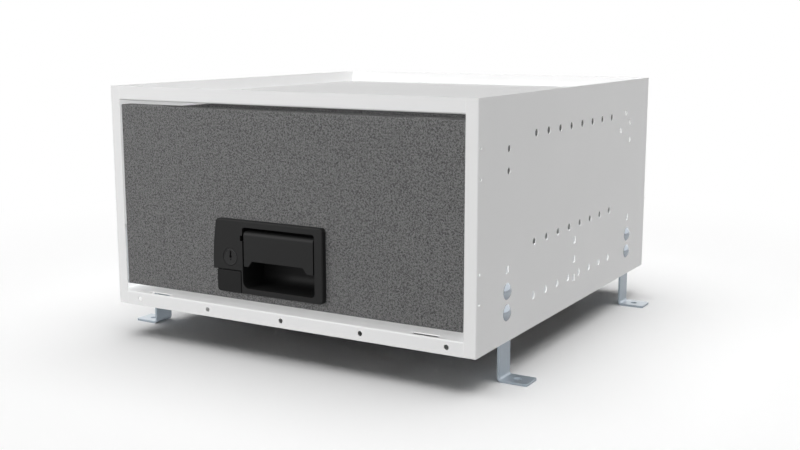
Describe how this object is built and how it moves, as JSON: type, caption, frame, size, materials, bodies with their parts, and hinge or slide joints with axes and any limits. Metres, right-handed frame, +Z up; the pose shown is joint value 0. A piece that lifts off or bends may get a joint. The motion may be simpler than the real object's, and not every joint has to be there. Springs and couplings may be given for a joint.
{
  "type": "van drawer unit",
  "caption": "Steel drawer unit for a van floor: folded casing with a top tray on bolted feet, one full-extension drawer, and a lockable paddle latch.",
  "frame": {"origin": "middle of the four floor holes, at the level of the feet's undersides", "axes": "+Z up, +Y from the drawer front to the back, +X to the right seen from the front"},
  "size_m": [0.586, 0.582, 0.3265],
  "materials": {
    "white_paint": "smooth off-white powder coat",
    "inner_paint": "off-white powder coat inside",
    "dark_paint": "dark grey textured powder coat",
    "foot_zinc": "bright bluish zinc plating",
    "bolt_zinc": "bright zinc plating",
    "rail_steel": "galvanised steel tube",
    "runner_steel": "zinc-plated roll-formed steel",
    "ball_steel": "hardened balls in a pressed cage",
    "latch_steel": "zinc-plated pressed steel",
    "spring_steel": "spring wire",
    "handle_plastic": "fine-textured black moulding",
    "paddle_plastic": "fine-textured black moulding",
    "guide_plastic": "natural sliding plastic",
    "lock_metal": "black-coated die casting",
    "buffer_rubber": "black rubber"
  },
  "bodies": {
    "casing": {"side_panel_left": "white_paint", "side_panel_right": "white_paint", "top_tray": "white_paint", "bottom_pan": "white_paint", "back_panel": "inner_paint", "runner_rail_left": "rail_steel", "runner_rail_right": "rail_steel", "foot_front_left": "foot_zinc", "foot_front_right": "foot_zinc", "foot_rear_left": "foot_zinc", "foot_rear_right": "foot_zinc", "foot_bolts": "bolt_zinc", "foot_nuts": "bolt_zinc", "runner_outer_left": "runner_steel", "runner_outer_right": "runner_steel", "latch_keeper": "latch_steel", "rear_buffers": "buffer_rubber"},
    "runner_middle": {"runner_middle_left": "runner_steel", "runner_middle_right": "runner_steel"},
    "cages_outer": {"ball_cages_outer": "ball_steel"},
    "cages_inner": {"ball_cages_inner": "ball_steel"},
    "drawer": {"drawer_front": "dark_paint", "drawer_body": "dark_paint", "drawer_back": "dark_paint", "runner_inner_left": "runner_steel", "runner_inner_right": "runner_steel", "handle_housing": "handle_plastic", "handle_lower_cover": "handle_plastic", "handle_screws": "bolt_zinc", "mechanism_cover": "dark_paint", "latch_bracket": "latch_steel", "latch_guide": "guide_plastic", "rocker_pin": "latch_steel"},
    "paddle": {"paddle": "paddle_plastic", "paddle_pin": "latch_steel", "paddle_spring": "spring_steel", "paddle_crank": "latch_steel"},
    "rocker": {"latch_rocker": "latch_steel"},
    "latch": {"latch_bar": "latch_steel"},
    "lock": {"lock_plug": "lock_metal", "lock_cam": "latch_steel"}
  },
  "joints": [
    {"name": "drawer_slide", "type": "slide", "parent": "casing", "child": "drawer", "axis": [0, -1, 0], "range_m": [0, 0.5]},
    {"name": "runner_middle_slide", "type": "slide", "parent": "casing", "child": "runner_middle", "axis": [0, -1, 0], "range_m": [0, 0.25]},
    {"name": "outer_cage_slide", "type": "slide", "parent": "casing", "child": "cages_outer", "axis": [0, -1, 0], "range_m": [0, 0.125]},
    {"name": "inner_cage_slide", "type": "slide", "parent": "casing", "child": "cages_inner", "axis": [0, -1, 0], "range_m": [0, 0.375]},
    {"name": "paddle_hinge", "type": "hinge", "parent": "drawer", "child": "paddle", "pos_m": [0, -0.282, 0.148], "axis": [-1, 0, 0], "range_deg": [0, 30], "stiffness_Nm_per_rad": 0.2, "springref_deg": -22.92},
    {"name": "rocker_hinge", "type": "hinge", "parent": "drawer", "child": "rocker", "pos_m": [-0.0555, -0.253, 0.143], "axis": [1, 0, 0], "range_deg": [0, 34]},
    {"name": "latch_lift", "type": "slide", "parent": "drawer", "child": "latch", "axis": [0, 0, 1], "range_m": [0, 0.0054]},
    {"name": "lock_turn", "type": "hinge", "parent": "drawer", "child": "lock", "pos_m": [-0.0672, -0.287, 0.1256], "axis": [0, -1, 0], "range_deg": [0, 90]}
  ],
  "couplings": [
    {"joint": "runner_middle_slide", "follows": "drawer_slide", "ratio": 0.5},
    {"joint": "outer_cage_slide", "follows": "drawer_slide", "ratio": 0.25},
    {"joint": "inner_cage_slide", "follows": "drawer_slide", "ratio": 0.75},
    {"joint": "paddle_hinge", "follows": "latch_lift", "rad_per_m": 96.15},
    {"joint": "rocker_hinge", "follows": "latch_lift", "rad_per_m": 105.8}
  ]
}
